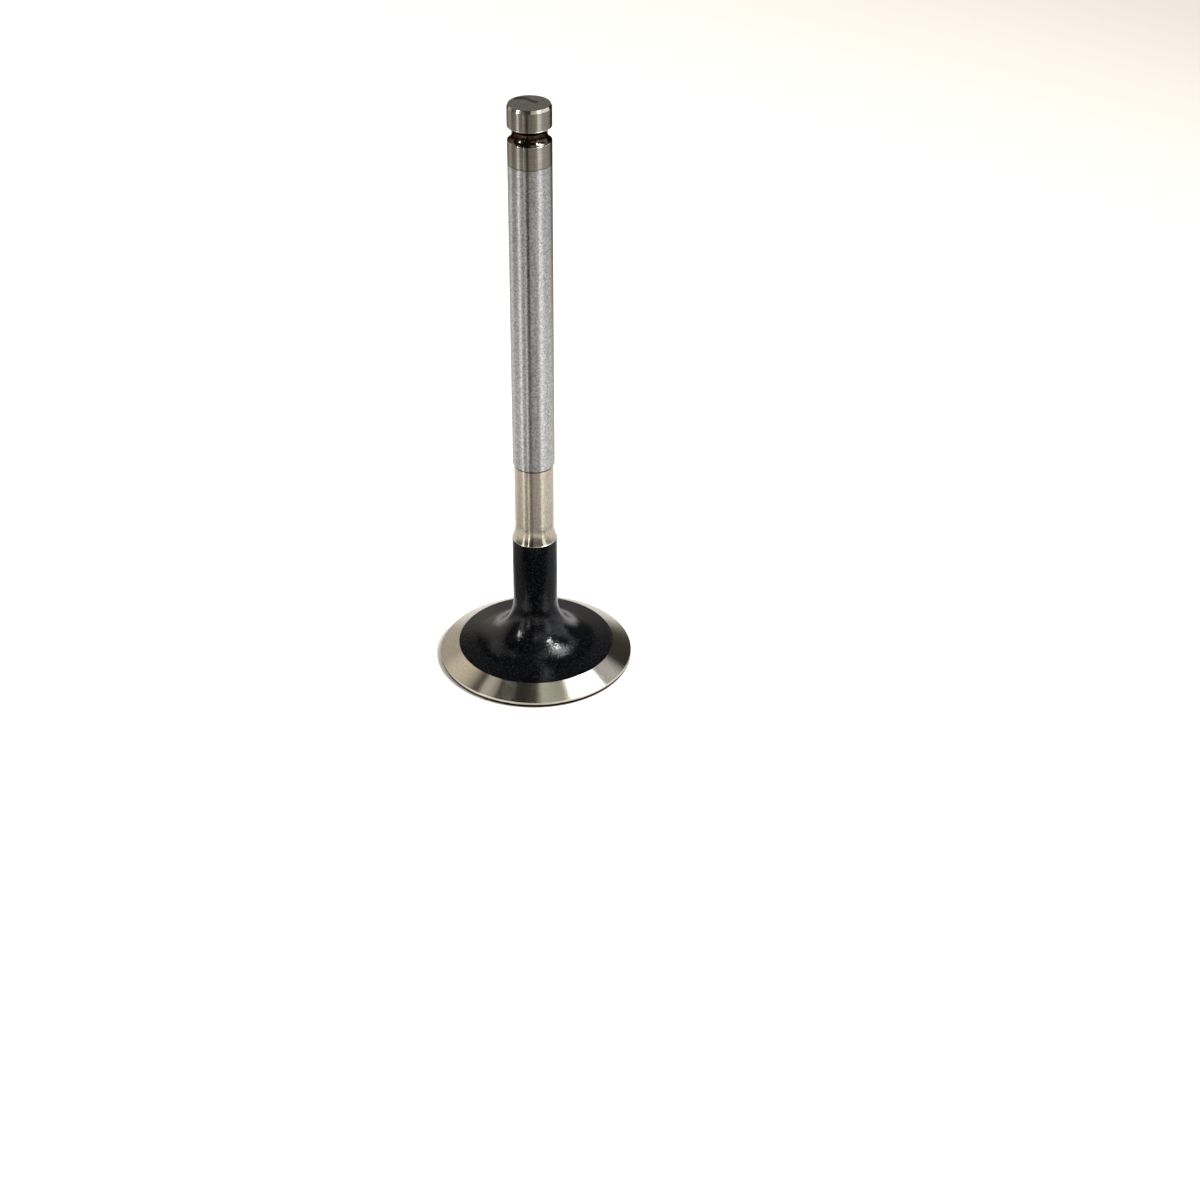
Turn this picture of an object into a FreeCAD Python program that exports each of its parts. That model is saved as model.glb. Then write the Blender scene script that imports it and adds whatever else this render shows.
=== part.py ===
import FreeCAD, Part
import math
import os
import Sketcher

# Poppet valve of a piston engine: a flat head with a seat cone, a turned neck, a ground stem and a
# keeper groove, all forged, turned and ground from one piece of steel.
# The origin is the middle of the combustion face, which lies in the XY plane, and +Z runs up the stem.
# Lengths are in millimetres and angles in degrees.

# Alias, value and meaning of each driving size
SIZES = [
    ("overall_length", 126.0, "combustion face to the end of the tip"),
    ("head_diameter", 41.3, "outside of the head, at its margin"),
    ("margin_height", 1.27, "straight rim between the face and the seat"),
    ("seat_angle", 30.0, "seat cone, from the plane of the face"),
    ("seat_width", 4.6, "seat cone, along its slope"),
    ("back_angle", 10.0, "back of the head inside the seat, from the plane of the face"),
    ("fillet_radius", 10.2, "from the back of the head into the shank"),
    ("stem_diameter", 8.7, "ground stem, which runs in the valve guide"),
    ("shank_stand", 0.4, "how far the forged shank stands proud of the ground stem"),
    ("shank_top", 29.85, "face to the end of the forged shank"),
    ("neck_length", 17.95, "turned neck, run-out included"),
    ("neck_depth", 0.27, "neck below the ground stem, on the radius"),
    ("runout_radius", 9.6, "concave run-out of the neck into the shank"),
    ("tip_length", 4.36, "button above the keeper groove"),
    ("groove_width", 2.9, "keeper groove, along the stem"),
    ("groove_depth", 0.89, "keeper groove below the ground stem, on the radius"),
    ("groove_lip", 0.12, "radius on the keeper groove's lower lip"),
    ("tip_chamfer_height", 0.6, "chamfer of the tip, along the stem"),
    ("tip_chamfer_depth", 0.25, "chamfer of the tip, across the end"),
    ("rim_break", 0.3, "chamfer around the combustion face"),
    ("shoulder_break", 0.15, "chamfer on the stem's lower shoulder"),
    ("tool_clearance", 1.0, "how far a turning outline reaches outside the metal"),
]

# Radii and heights that several features share
HEAD_RADIUS = "Sizes.head_diameter / 2"
STEM_RADIUS = "Sizes.stem_diameter / 2"
SHANK_RADIUS = f"{STEM_RADIUS} + Sizes.shank_stand"
NECK_RADIUS = f"{STEM_RADIUS} - Sizes.neck_depth"
SHOULDER_HEIGHT = "Sizes.shank_top + Sizes.neck_length"
BUTTON_HEIGHT = "Sizes.overall_length - Sizes.tip_length"
LIP_HEIGHT = f"{BUTTON_HEIGHT} - Sizes.groove_width"

# The seat's inner edge
SEAT_INSIDE = f"{HEAD_RADIUS} - Sizes.seat_width * cos(Sizes.seat_angle * 1 deg)"
SEAT_TOP = "Sizes.margin_height + Sizes.seat_width * sin(Sizes.seat_angle * 1 deg)"

# The fillet, which has to end on the back of the head, inside the seat
FILLET_ROOM = f"({SEAT_INSIDE} - ({SHANK_RADIUS})) / (1 - sin(Sizes.back_angle * 1 deg))"
FILLET_RADIUS = f"min(Sizes.fillet_radius; {FILLET_ROOM})"

# The arc that spans the keeper groove's width and reaches its depth
GROOVE_RADIUS = "((Sizes.groove_width / 2)^2 + Sizes.groove_depth^2) / (2 * Sizes.groove_depth)"

# How closely a rim's radius and height are matched
MATCH = 1e-4


def make_sheet(doc):
    sheet = doc.addObject("Spreadsheet::Sheet", "Sizes")
    for row, (alias, value, meaning) in enumerate(SIZES, start=1):
        sheet.set(f"A{row}", meaning)
        sheet.set(f"B{row}", str(value))
        sheet.setAlias(f"B{row}", alias)
    doc.recompute()
    return sheet


def worked_out(sheet, expression):
    """The value of an expression over the sheet's sizes, as a plain number."""
    value = sheet.evalExpression(expression)
    return getattr(value, "Value", value)


def new_sketch(body, name):
    """A sketch in the XZ plane: its x is the radius and its y is the height."""
    sketch = body.newObject("Sketcher::SketchObject", name)
    plane = next(f for f in body.Origin.OriginFeatures if f.Role == "XZ_Plane")
    sketch.AttachmentSupport = [(plane, "")]
    sketch.MapMode = "FlatFace"
    return sketch


def line(start, end):
    return Part.LineSegment(FreeCAD.Vector(*start, 0), FreeCAD.Vector(*end, 0))


def arc(centre, radius, start, end):
    """An arc that runs anticlockwise from one angle to the other, in radians."""
    circle = Part.Circle(FreeCAD.Vector(*centre, 0), FreeCAD.Vector(0, 0, 1), radius)
    return Part.ArcOfCircle(circle, start, end)


def draw(sketch, sides):
    """Adds the sides of an outline. A side drawn level or upright is kept so."""
    for number, side in enumerate(sides):
        sketch.addGeometry(side, False)
        if isinstance(side, Part.LineSegment):
            run = side.EndPoint - side.StartPoint
            if run.y == 0:
                sketch.addConstraint(Sketcher.Constraint("Horizontal", number))
            if run.x == 0:
                sketch.addConstraint(Sketcher.Constraint("Vertical", number))


def join(sketch, kind, *pairs):
    """Joins ends in pairs, each as side, end, side, end. End 1 is a side's start and 2 is its end."""
    for pair in pairs:
        sketch.addConstraint(Sketcher.Constraint(kind, *pair))


def dimension(sketch, name, expression, kind, *places):
    """Adds a named dimension that follows the sheet."""
    value = worked_out(sketch.Document.Sizes, expression)
    if kind == "Angle":
        value = math.radians(value)
    number = sketch.addConstraint(Sketcher.Constraint(kind, *places, value))
    sketch.renameConstraint(number, name)
    sketch.setExpression(f"Constraints.{name}", expression)


def turn(body, kind, name, sketch):
    """Turns a sketch about the stem's axis, as a Revolution or a Groove."""
    feature = body.newObject(f"PartDesign::{kind}", name)
    feature.Profile = sketch
    feature.ReferenceAxis = (sketch, ["V_Axis"])
    feature.Angle = 360
    body.Document.recompute()
    return feature


def rim(shape, radius, height):
    """The name of the circular edge about the stem's axis with this radius and height."""
    for number, edge in enumerate(shape.Edges, start=1):
        if not isinstance(edge.Curve, Part.Circle):
            continue
        if abs(edge.Curve.Radius - radius) < MATCH and abs(edge.Curve.Center.z - height) < MATCH:
            return f"Edge{number}"
    raise ValueError(f"no rim of radius {radius} at height {height}")


def dress(body, kind, name, size, places):
    """Rounds or chamfers rims of the body's last feature, each given as its radius and height."""
    base = body.Tip
    sheet = body.Document.Sizes
    edges = [rim(base.Shape, worked_out(sheet, r), worked_out(sheet, z)) for r, z in places]
    feature = body.newObject(f"PartDesign::{kind}", name)
    feature.Base = (base, edges)
    feature.setExpression("Radius" if kind == "Fillet" else "Size", size)
    body.Document.recompute()
    return feature


def draw_blank(body, sheet):
    """The whole valve's half section before its neck and keeper groove are turned."""
    head = worked_out(sheet, HEAD_RADIUS)
    seat_inside = worked_out(sheet, SEAT_INSIDE)
    seat_top = worked_out(sheet, SEAT_TOP)
    fillet_radius = worked_out(sheet, FILLET_RADIUS)
    shank_radius = worked_out(sheet, SHANK_RADIUS)
    stem_radius = worked_out(sheet, STEM_RADIUS)
    shoulder = worked_out(sheet, SHOULDER_HEIGHT)
    tip = sheet.overall_length
    back = math.radians(sheet.back_angle)
    # The fillet's centre lies its own radius from the shank and from the back of the head
    centre_x = shank_radius + fillet_radius
    centre_z = seat_top + (seat_inside - centre_x) * math.tan(back) + fillet_radius / math.cos(back)
    fillet_foot = (centre_x - fillet_radius * math.sin(back), centre_z - fillet_radius * math.cos(back))
    margin_top = (head, sheet.margin_height)
    seat_end = (seat_inside, seat_top)
    tip_side = (stem_radius, tip - sheet.tip_chamfer_height)
    tip_rim = (stem_radius - sheet.tip_chamfer_depth, tip)

    sketch = new_sketch(body, "BlankOutline")
    face, margin, seat, back_side, fillet, shank, shoulder_side, stem, chamfer, end, axis = range(11)
    draw(
        sketch,
        [
            line((0, 0), (head, 0)),
            line((head, 0), margin_top),
            line(margin_top, seat_end),
            line(seat_end, fillet_foot),
            arc((centre_x, centre_z), fillet_radius, math.pi, 1.5 * math.pi - back),
            line((shank_radius, centre_z), (shank_radius, shoulder)),
            line((shank_radius, shoulder), (stem_radius, shoulder)),
            line((stem_radius, shoulder), tip_side),
            line(tip_side, tip_rim),
            line(tip_rim, (0, tip)),
            line((0, tip), (0, 0)),
        ],
    )
    loop = [face, margin, seat, back_side]
    join(sketch, "Coincident", *[(a, 2, b, 1) for a, b in zip(loop, loop[1:])])
    loop = [shank, shoulder_side, stem, chamfer, end, axis, face]
    join(sketch, "Coincident", *[(a, 2, b, 1) for a, b in zip(loop, loop[1:])])
    join(sketch, "Coincident", (face, 1, -1, 1))
    join(sketch, "Tangent", (back_side, 2, fillet, 2), (fillet, 1, shank, 1))

    dimension(sketch, "head_radius", HEAD_RADIUS, "DistanceX", -1, 1, face, 2)
    dimension(sketch, "margin_height", "Sizes.margin_height", "DistanceY", margin, 1, margin, 2)
    dimension(sketch, "seat_width", "Sizes.seat_width", "Distance", seat)
    dimension(sketch, "seat_slope", "180 deg - Sizes.seat_angle * 1 deg", "Angle", seat)
    dimension(sketch, "back_slope", "180 deg - Sizes.back_angle * 1 deg", "Angle", back_side)
    dimension(sketch, "fillet_radius", FILLET_RADIUS, "Radius", fillet)
    dimension(sketch, "shank_radius", SHANK_RADIUS, "DistanceX", -1, 1, shank, 2)
    dimension(sketch, "shoulder_height", SHOULDER_HEIGHT, "DistanceY", -1, 1, shank, 2)
    dimension(sketch, "stem_radius", STEM_RADIUS, "DistanceX", -1, 1, stem, 1)
    dimension(sketch, "overall_length", "Sizes.overall_length", "DistanceY", -1, 1, end, 2)
    dimension(sketch, "chamfer_height", "Sizes.tip_chamfer_height", "DistanceY", chamfer, 1, chamfer, 2)
    dimension(sketch, "chamfer_depth", "Sizes.tip_chamfer_depth", "DistanceX", chamfer, 2, chamfer, 1)
    return sketch


def draw_neck(body, sheet):
    """What is turned away between the shank and the ground stem."""
    shank = worked_out(sheet, SHANK_RADIUS)
    neck = worked_out(sheet, NECK_RADIUS)
    foot = sheet.shank_top
    shoulder = worked_out(sheet, SHOULDER_HEIGHT)
    outside = shank + sheet.tool_clearance
    # The run-out starts at the shank and ends tangent to the neck
    centre_x = neck + sheet.runout_radius
    rise = math.sqrt(sheet.runout_radius**2 - (centre_x - shank) ** 2)

    sketch = new_sketch(body, "NeckOutline")
    under, runout, neck_side, over, outer = range(5)
    draw(
        sketch,
        [
            line((outside, foot), (shank, foot)),
            arc(
                (centre_x, foot + rise),
                sheet.runout_radius,
                math.pi,
                math.pi + math.atan2(rise, centre_x - shank),
            ),
            line((neck, foot + rise), (neck, shoulder)),
            line((neck, shoulder), (outside, shoulder)),
            line((outside, shoulder), (outside, foot)),
        ],
    )
    join(sketch, "Coincident", (under, 2, runout, 2), (neck_side, 2, over, 1))
    join(sketch, "Coincident", (over, 2, outer, 1), (outer, 2, under, 1))
    join(sketch, "Tangent", (runout, 1, neck_side, 1))
    dimension(sketch, "shank_radius", SHANK_RADIUS, "DistanceX", -1, 1, under, 2)
    dimension(sketch, "neck_radius", NECK_RADIUS, "DistanceX", -1, 1, neck_side, 2)
    dimension(sketch, "runout_radius", "Sizes.runout_radius", "Radius", runout)
    dimension(sketch, "shank_top", "Sizes.shank_top", "DistanceY", -1, 1, under, 2)
    dimension(sketch, "shoulder_height", SHOULDER_HEIGHT, "DistanceY", -1, 1, neck_side, 2)
    dimension(sketch, "clearance", "Sizes.tool_clearance", "DistanceX", under, 2, under, 1)
    return sketch


def draw_keeper_groove(body, sheet):
    """The round-bottomed groove that the two halves of the keeper grip."""
    stem = worked_out(sheet, STEM_RADIUS)
    lip = worked_out(sheet, LIP_HEIGHT)
    button = worked_out(sheet, BUTTON_HEIGHT)
    outside = stem + sheet.tool_clearance
    groove = worked_out(sheet, GROOVE_RADIUS)
    centre_x = stem - sheet.groove_depth + groove
    half_turn = math.atan2(sheet.groove_width / 2, centre_x - stem)

    sketch = new_sketch(body, "KeeperGrooveOutline")
    under, root, over, outer = range(4)
    draw(
        sketch,
        [
            line((outside, lip), (stem, lip)),
            arc((centre_x, (lip + button) / 2), groove, math.pi - half_turn, math.pi + half_turn),
            line((stem, button), (outside, button)),
            line((outside, button), (outside, lip)),
        ],
    )
    join(sketch, "Coincident", (under, 2, root, 2), (root, 1, over, 1))
    join(sketch, "Coincident", (over, 2, outer, 1), (outer, 2, under, 1))
    join(sketch, "Vertical", (under, 2, over, 1))
    dimension(sketch, "stem_radius", STEM_RADIUS, "DistanceX", -1, 1, under, 2)
    dimension(sketch, "lip_height", LIP_HEIGHT, "DistanceY", -1, 1, under, 2)
    dimension(sketch, "groove_width", "Sizes.groove_width", "DistanceY", under, 2, over, 1)
    dimension(sketch, "groove_radius", GROOVE_RADIUS, "Radius", root)
    dimension(sketch, "clearance", "Sizes.tool_clearance", "DistanceX", under, 2, under, 1)
    return sketch


def cut(body, name, sketch):
    """Turns a groove and makes sure that it took metal away."""
    before = body.Shape.Volume
    feature = turn(body, "Groove", name, sketch)
    if not feature.Shape.Volume < before:
        raise ValueError(f"{name} took nothing away")


def make_valve(doc, sheet):
    body = doc.addObject("PartDesign::Body", "Valve")
    body.Label = "valve"
    body.Placement = FreeCAD.Placement()
    turn(body, "Revolution", "Blank", draw_blank(body, sheet))
    cut(body, "Neck", draw_neck(body, sheet))
    cut(body, "KeeperGroove", draw_keeper_groove(body, sheet))
    dress(body, "Fillet", "GrooveLip", "Sizes.groove_lip", [(STEM_RADIUS, LIP_HEIGHT)])
    dress(body, "Chamfer", "ShoulderBreak", "Sizes.shoulder_break", [(STEM_RADIUS, SHOULDER_HEIGHT)])
    dress(body, "Chamfer", "RimBreak", "Sizes.rim_break", [(HEAD_RADIUS, "0")])
    return body


def check(doc, bodies):
    """Stops before anything is written if an object failed or a shape isn't one sound solid."""
    for item in doc.Objects:
        if {"Invalid", "Error"} & set(item.State):
            raise ValueError(f"{item.Name} failed: {item.State}")
        if item.TypeId == "Sketcher::SketchObject" and not item.FullyConstrained:
            raise ValueError(f"{item.Name} isn't fully constrained")
    for body in bodies:
        if body.Shape.isNull() or not body.Shape.isValid() or len(body.Shape.Solids) != 1:
            raise ValueError(f"{body.Label} isn't one sound solid")


def main():
    doc = FreeCAD.newDocument("EngineValve")
    bodies = [make_valve(doc, make_sheet(doc))]
    doc.recompute()
    check(doc, bodies)
    os.makedirs("parts", exist_ok=True)
    for body in bodies:
        body.Shape.exportStep(f"parts/{body.Label}.step")
        box = body.Shape.BoundBox
        print(body.Label, "size", box.XLength, box.YLength, box.ZLength, "volume", body.Shape.Volume)


main()
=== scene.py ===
"""The looks of a standing engine valve: one turned piece with its ground, plated and oxidised finishes."""
import math

import bpy
import numpy as np
from mathutils import Matrix, Vector


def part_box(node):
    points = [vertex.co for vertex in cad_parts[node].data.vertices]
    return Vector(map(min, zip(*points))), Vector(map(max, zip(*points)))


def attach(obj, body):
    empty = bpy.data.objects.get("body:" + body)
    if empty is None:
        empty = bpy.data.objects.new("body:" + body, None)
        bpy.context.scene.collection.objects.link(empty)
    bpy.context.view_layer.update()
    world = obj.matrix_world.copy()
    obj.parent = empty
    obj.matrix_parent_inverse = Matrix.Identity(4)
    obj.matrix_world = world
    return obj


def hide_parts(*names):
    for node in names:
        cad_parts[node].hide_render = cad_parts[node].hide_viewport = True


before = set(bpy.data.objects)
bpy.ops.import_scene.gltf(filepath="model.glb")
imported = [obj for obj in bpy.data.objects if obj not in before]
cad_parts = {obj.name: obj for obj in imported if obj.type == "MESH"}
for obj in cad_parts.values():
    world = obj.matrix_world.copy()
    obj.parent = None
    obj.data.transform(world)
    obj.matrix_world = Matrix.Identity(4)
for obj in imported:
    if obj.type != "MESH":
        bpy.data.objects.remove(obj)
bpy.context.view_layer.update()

# Units: the section is drawn in millimetres, and the scene is in metres
MM = 0.001
MICROMETRE = 0.001 * MM

# The valve's driving sizes, the two largest read from the solid
high_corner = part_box("valve")[1]
HEAD_RADIUS = high_corner.x / MM
LENGTH = high_corner.z / MM
MARGIN_HEIGHT = 1.27
SEAT_ANGLE = math.radians(30)
SEAT_WIDTH = 4.6
BACK_ANGLE = math.radians(10)
FILLET_RADIUS = 10.2
STEM_RADIUS = 4.35
SHANK_RADIUS = STEM_RADIUS + 0.4
SHANK_TOP = 29.85
NECK_RADIUS = STEM_RADIUS - 0.27
NECK_TOP = SHANK_TOP + 17.95
RUNOUT_RADIUS = 9.6
RIM_BREAK = 0.3
# How high the painted contact shade reaches up the margin, above the broken edge
RIM_SHADE_HEIGHT = 0.52
SHOULDER_BREAK = 0.15
RELIEF_HEIGHT = 0.45
RELIEF_DEPTH = 0.10
BUTTON_BOTTOM = LENGTH - 4.36
GROOVE_WIDTH = 2.9
GROOVE_DEPTH = 0.89
LIP_RADIUS = 0.12
TIP_CHAMFER_HEIGHT = 0.6
TIP_CHAMFER_DEPTH = 0.25
TIP_RADIUS = STEM_RADIUS - TIP_CHAMFER_DEPTH
PLATING_TOP = 114.1
PLATING_WANDER = 0.20
PLATING_EDGE = 0.04

# The keeper groove is round, and its lower lip is rounded into the stem
GROOVE_RADIUS = ((GROOVE_WIDTH / 2) ** 2 + GROOVE_DEPTH**2) / (2 * GROOVE_DEPTH)
GROOVE_MIDDLE = (STEM_RADIUS - GROOVE_DEPTH + GROOVE_RADIUS, BUTTON_BOTTOM - GROOVE_WIDTH / 2)
LIP_ACROSS = GROOVE_MIDDLE[0] - (STEM_RADIUS - LIP_RADIUS)
LIP_DROP = math.sqrt((GROOVE_RADIUS + LIP_RADIUS) ** 2 - LIP_ACROSS**2)
LIP_START = GROOVE_MIDDLE[1] - LIP_DROP

# The tip's wavy mark runs from a far level on the left to a near one on the right
TIP_MARK_FAR = 2.5
TIP_MARK_NEAR = 0.6
TIP_MARK_TURN = (-0.9, 1.1)
TIP_MARK_ENDS = (-3.4, 1.9)
TIP_MARK_WIDTH = 0.95

# How finely the piece is turned: columns around it, rows in a worn corner, and the corner's radius.
# Stretches that meet at less than the sharp angle have no corner
COLUMNS = 192
CORNER_ROWS = 4
WORN = 0.035
SHARP = math.radians(1)


# Camera

# The photograph is 1200 pixels wide. These were solved from the valve's ellipses in it
FRAME_PIXELS = 1200
FOCAL_PIXELS = 2345.7
SENSOR_WIDTH = 36.0
CAMERA_PLACE = (0.0, -0.42160, 0.29132)
CAMERA_PITCH = 0.582487
CAMERA_YAW = math.radians(1.8848)
CAMERA_ROLL = math.radians(0.298)


def add_camera():
    """Looks down on the valve as the photograph does."""
    forward = Vector((
        math.sin(CAMERA_YAW) * math.cos(CAMERA_PITCH),
        math.cos(CAMERA_YAW) * math.cos(CAMERA_PITCH),
        -math.sin(CAMERA_PITCH),
    ))
    level = Vector((math.cos(CAMERA_YAW), -math.sin(CAMERA_YAW), 0.0))
    upright = level.cross(forward)
    right = math.cos(CAMERA_ROLL) * level + math.sin(CAMERA_ROLL) * upright
    up = math.cos(CAMERA_ROLL) * upright - math.sin(CAMERA_ROLL) * level
    lens = bpy.data.cameras.new("camera")
    lens.sensor_width = SENSOR_WIDTH
    lens.lens = FOCAL_PIXELS / FRAME_PIXELS * SENSOR_WIDTH
    camera = bpy.data.objects.new("camera", lens)
    turned = Matrix((right, up, -forward)).transposed()
    camera.matrix_world = Matrix.Translation(CAMERA_PLACE) @ turned.to_4x4()
    bpy.context.scene.collection.objects.link(camera)
    bpy.context.scene.camera = camera


# The half section, as stretches from the middle of the combustion face to the middle of the tip

def line(start, end):
    """A straight stretch: its length, and the place and heading at a share of it."""
    first, last = Vector(start), Vector(end)
    heading = (last - first).normalized()
    return (last - first).length, lambda share: (first.lerp(last, share), heading)


def arc(centre, start, end):
    """A round stretch about a centre, the short way from start to end."""
    middle = Vector(centre)
    first = math.atan2(start[1] - middle.y, start[0] - middle.x)
    last = math.atan2(end[1] - middle.y, end[0] - middle.x)
    turn = (last - first + math.pi) % (2 * math.pi) - math.pi
    radius = math.dist(start, centre)

    def at(share):
        angle = first + turn * share
        out = Vector((math.cos(angle), math.sin(angle)))
        return middle + radius * out, Vector((-out.y, out.x)) * math.copysign(1, turn)

    return radius * abs(turn), at


def stretches():
    """The section's stretches: the finish each one has, its rows and its shape."""
    seat_top = (
        HEAD_RADIUS - SEAT_WIDTH * math.cos(SEAT_ANGLE),
        MARGIN_HEIGHT + SEAT_WIDTH * math.sin(SEAT_ANGLE),
    )
    # The back cone and the shank meet in the fillet, which touches both
    meet = seat_top[1] + (seat_top[0] - SHANK_RADIUS) * math.tan(BACK_ANGLE)
    reach = FILLET_RADIUS * math.tan((math.pi / 2 - BACK_ANGLE) / 2)
    fillet_start = (SHANK_RADIUS + reach * math.cos(BACK_ANGLE), meet - reach * math.sin(BACK_ANGLE))
    fillet_end = (SHANK_RADIUS, meet + reach)
    fillet_middle = (SHANK_RADIUS + FILLET_RADIUS, fillet_end[1])
    # The neck's run-out touches the neck and meets the shank's top in an edge
    across = RUNOUT_RADIUS - (SHANK_RADIUS - NECK_RADIUS)
    runout_end = (NECK_RADIUS, SHANK_TOP + math.sqrt(RUNOUT_RADIUS**2 - across**2))
    runout_middle = (NECK_RADIUS + RUNOUT_RADIUS, runout_end[1])
    # The neck is relieved a little more right under the stem's shoulder
    relief_start = (NECK_RADIUS, NECK_TOP - RELIEF_HEIGHT)
    relief = (NECK_RADIUS - RELIEF_DEPTH, NECK_TOP)
    shoulder = (STEM_RADIUS - SHOULDER_BREAK, NECK_TOP)
    plating_start = (STEM_RADIUS, NECK_TOP + SHOULDER_BREAK)
    plating_end = (STEM_RADIUS, PLATING_TOP + PLATING_WANDER)
    # The lip's round and the groove's round touch where the lip ends
    lip_start = (STEM_RADIUS, LIP_START)
    lip_middle = (STEM_RADIUS - LIP_RADIUS, LIP_START)
    share = GROOVE_RADIUS / (GROOVE_RADIUS + LIP_RADIUS)
    lip_end = (GROOVE_MIDDLE[0] - LIP_ACROSS * share, GROOVE_MIDDLE[1] - LIP_DROP * share)
    groove_end = (STEM_RADIUS, BUTTON_BOTTOM)
    button_top = (STEM_RADIUS, LENGTH - TIP_CHAMFER_HEIGHT)
    tip_edge = (TIP_RADIUS, LENGTH)
    return [
        ("face", 24, line((0, 0), (HEAD_RADIUS - RIM_BREAK, 0))),
        # The broken edge carries painted contact shade
        ("shaded_rim", 3, line((HEAD_RADIUS - RIM_BREAK, 0), (HEAD_RADIUS, RIM_BREAK))),
        ("margin", 4, line((HEAD_RADIUS, RIM_BREAK), (HEAD_RADIUS, MARGIN_HEIGHT))),
        ("seat", 12, line((HEAD_RADIUS, MARGIN_HEIGHT), seat_top)),
        ("oxide", 8, line(seat_top, fillet_start)),
        ("oxide", 44, arc(fillet_middle, fillet_start, fillet_end)),
        ("oxide", 16, line(fillet_end, (SHANK_RADIUS, SHANK_TOP))),
        ("neck", 24, arc(runout_middle, (SHANK_RADIUS, SHANK_TOP), runout_end)),
        ("neck", 16, line(runout_end, relief_start)),
        ("neck", 4, line(relief_start, relief)),
        ("plating", 2, line(relief, shoulder)),
        ("plating", 2, line(shoulder, plating_start)),
        ("plating", 60, line(plating_start, plating_end)),
        ("ground", 8, line(plating_end, lip_start)),
        ("ground", 8, arc(lip_middle, lip_start, lip_end)),
        ("groove", 32, arc(GROOVE_MIDDLE, lip_end, groove_end)),
        ("ground", 8, line(groove_end, button_top)),
        ("chamfer", 4, line(button_top, tip_edge)),
        ("tip", 10, line(tip_edge, (0, LENGTH))),
    ]


def worn_corner(before, corner, after, heading_in, heading_out):
    """Places and headings inside a corner that is worn round, from one cut to the next."""
    for row in range(1, CORNER_ROWS):
        t = row / CORNER_ROWS
        place = (1 - t) ** 2 * before + 2 * t * (1 - t) * corner + t**2 * after
        yield place, ((1 - t) * heading_in + t * heading_out).normalized()


def section_rows():
    """The section's rows: the place, the outward normal, and the finish up to the next row."""
    parts = stretches()
    cuts = [0.0]
    for (_, _, (_, here)), (_, _, (_, ahead)) in zip(parts, parts[1:]):
        turn = here(1)[1].angle(ahead(0)[1])
        cuts.append(WORN * math.tan(turn / 2) if turn > SHARP else 0.0)
    cuts.append(0.0)
    rows = []
    for number, (finish, count, (length, at)) in enumerate(parts):
        first, last = cuts[number] / length, 1 - cuts[number + 1] / length
        places = [at(first + (last - first) * k / count) for k in range(count + 1)]
        if cuts[number + 1]:
            following = parts[number + 1][2]
            after, heading_out = following[1](cuts[number + 1] / following[0])
            before, heading_in = places[-1]
            places += worn_corner(before, at(1)[0], after, heading_in, heading_out)
        elif number + 1 < len(parts):
            places.pop()
        rows += [(place, Vector((heading.y, -heading.x)), finish) for place, heading in places]
    return rows


def wind(across, along):
    """Winds radii and heights around the axis, one row of points for each pair."""
    around = np.linspace(0, 2 * math.pi, COLUMNS, endpoint=False)
    x = np.outer(across, np.cos(around))
    y = np.outer(across, np.sin(around))
    z = np.repeat(along[:, None], COLUMNS, axis=1)
    return np.stack([x, y, z], axis=2).reshape(-1, 3)


def wound_faces(finishes):
    """The faces between the rows, which close in a point at both ends, and each face's finish."""
    bottom = (len(finishes) - 2) * COLUMNS
    top = bottom + 1
    last = bottom - COLUMNS
    faces, given = [], []
    for column in range(COLUMNS):
        beside = (column + 1) % COLUMNS
        faces += [(bottom, beside, column), (top, last + column, last + beside)]
        given += [finishes[0], finishes[-2]]
    for number, finish in enumerate(finishes[1:-2]):
        start = number * COLUMNS
        above = start + COLUMNS
        for column in range(COLUMNS):
            beside = (column + 1) % COLUMNS
            faces.append((start + column, start + beside, above + beside, above + column))
            given.append(finish)
    return faces, given


def add_valve(finishes):
    """Turns the section about the axis into one closed piece that stands for the solid."""
    rows = section_rows()
    inner = rows[1:-1]
    radii = np.array([place.x for place, _, _ in inner]) * MM
    heights = np.array([place.y for place, _, _ in inner]) * MM
    out = np.array([normal.x for _, normal, _ in inner])
    up = np.array([normal.y for _, normal, _ in inner])
    points = np.vstack([wind(radii, heights), [[0, 0, 0], [0, 0, LENGTH * MM]]])
    normals = np.vstack([wind(out, up), [[0, 0, -1], [0, 0, 1]]])
    names = list(finishes)
    faces, given = wound_faces([finish for _, _, finish in rows])
    materials = [names.index(finish) for finish in given]
    mesh = bpy.data.meshes.new("valve_finish")
    mesh.from_pydata(points.tolist(), [], faces)
    for name in names:
        mesh.materials.append(finishes[name])
    mesh.polygons.foreach_set("material_index", materials)
    mesh.polygons.foreach_set("use_smooth", [True] * len(faces))
    mesh.update()
    mesh.normals_split_custom_set_from_vertices(normals.tolist())
    piece = bpy.data.objects.new("valve_finish", mesh)
    bpy.context.scene.collection.objects.link(piece)
    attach(piece, "root")
    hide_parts("valve")
    return piece


# Nodes

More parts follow.
